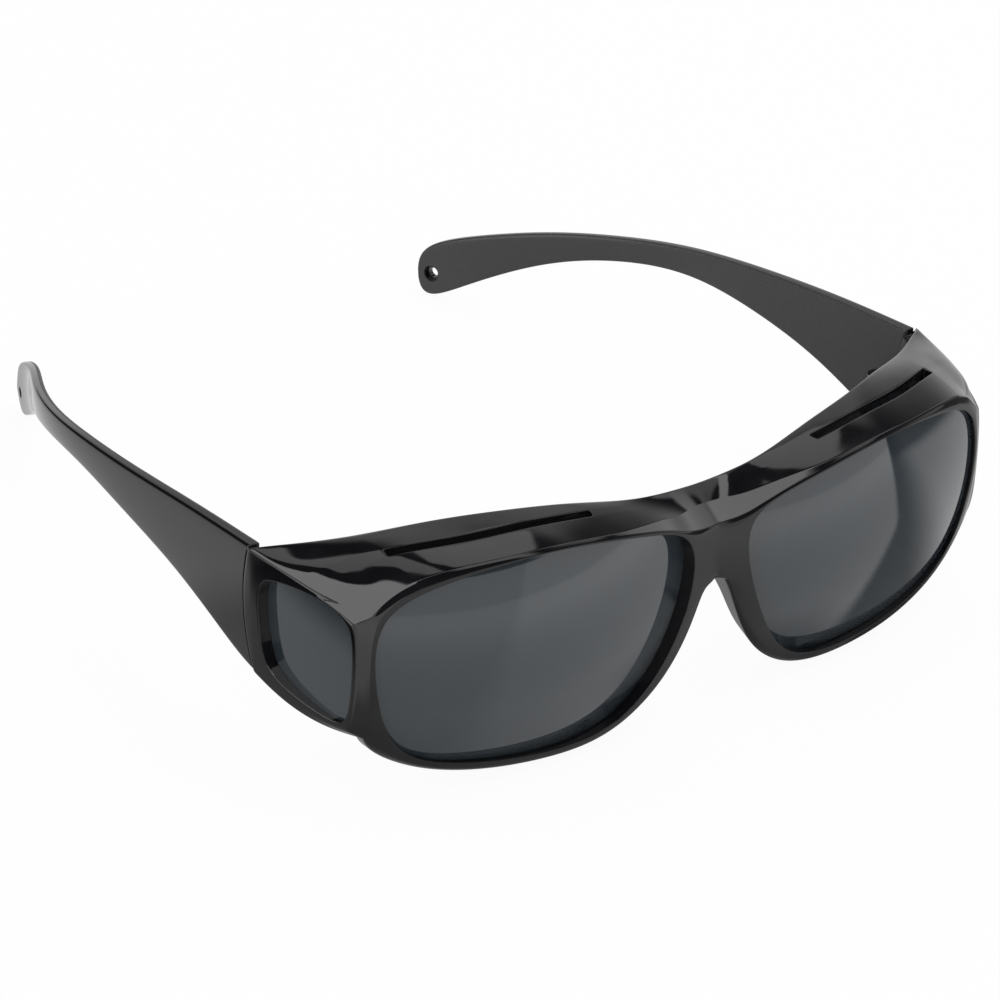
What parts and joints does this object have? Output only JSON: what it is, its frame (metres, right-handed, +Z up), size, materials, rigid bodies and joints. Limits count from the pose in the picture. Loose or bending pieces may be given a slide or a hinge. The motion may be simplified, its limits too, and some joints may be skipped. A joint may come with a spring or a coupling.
{
  "type": "fit-over driving glasses",
  "caption": "Wraparound fit-over driving glasses: a moulded front with smoke lenses and side windows, and temples that fold on screw hinges.",
  "frame": {"origin": "middle of the bounding box at the surface the glasses stand on", "axes": "+X to the wearer's left, -Y is the side the front faces, +Z up; the glasses stand on the rims and the temple tips"},
  "size_m": [0.148, 0.1478, 0.0446],
  "materials": {
    "front_black": "polished black",
    "temple_black": "polished black outside, fine texture inside",
    "smoke_lens": "clear gloss, smoke grey tint",
    "screw_steel": "plain"
  },
  "bodies": {
    "front": {"front_frame": "front_black", "lens_left": "smoke_lens", "lens_right": "smoke_lens", "side_lens_left": "smoke_lens", "side_lens_right": "smoke_lens", "hinge_screw_left": "screw_steel", "hinge_screw_right": "screw_steel"},
    "left_temple": {"temple_left": "temple_black"},
    "right_temple": {"temple_right": "temple_black"}
  },
  "joints": [
    {"name": "left_hinge", "type": "hinge", "parent": "front", "child": "left_temple", "pos_m": [0.0688, -0.03677, 0.02337], "axis": [0, 0.146, 0.9893], "range_deg": [0, 90]},
    {"name": "right_hinge", "type": "hinge", "parent": "front", "child": "right_temple", "pos_m": [-0.0688, -0.03677, 0.02337], "axis": [0, -0.146, -0.9893], "range_deg": [0, 75]}
  ]
}
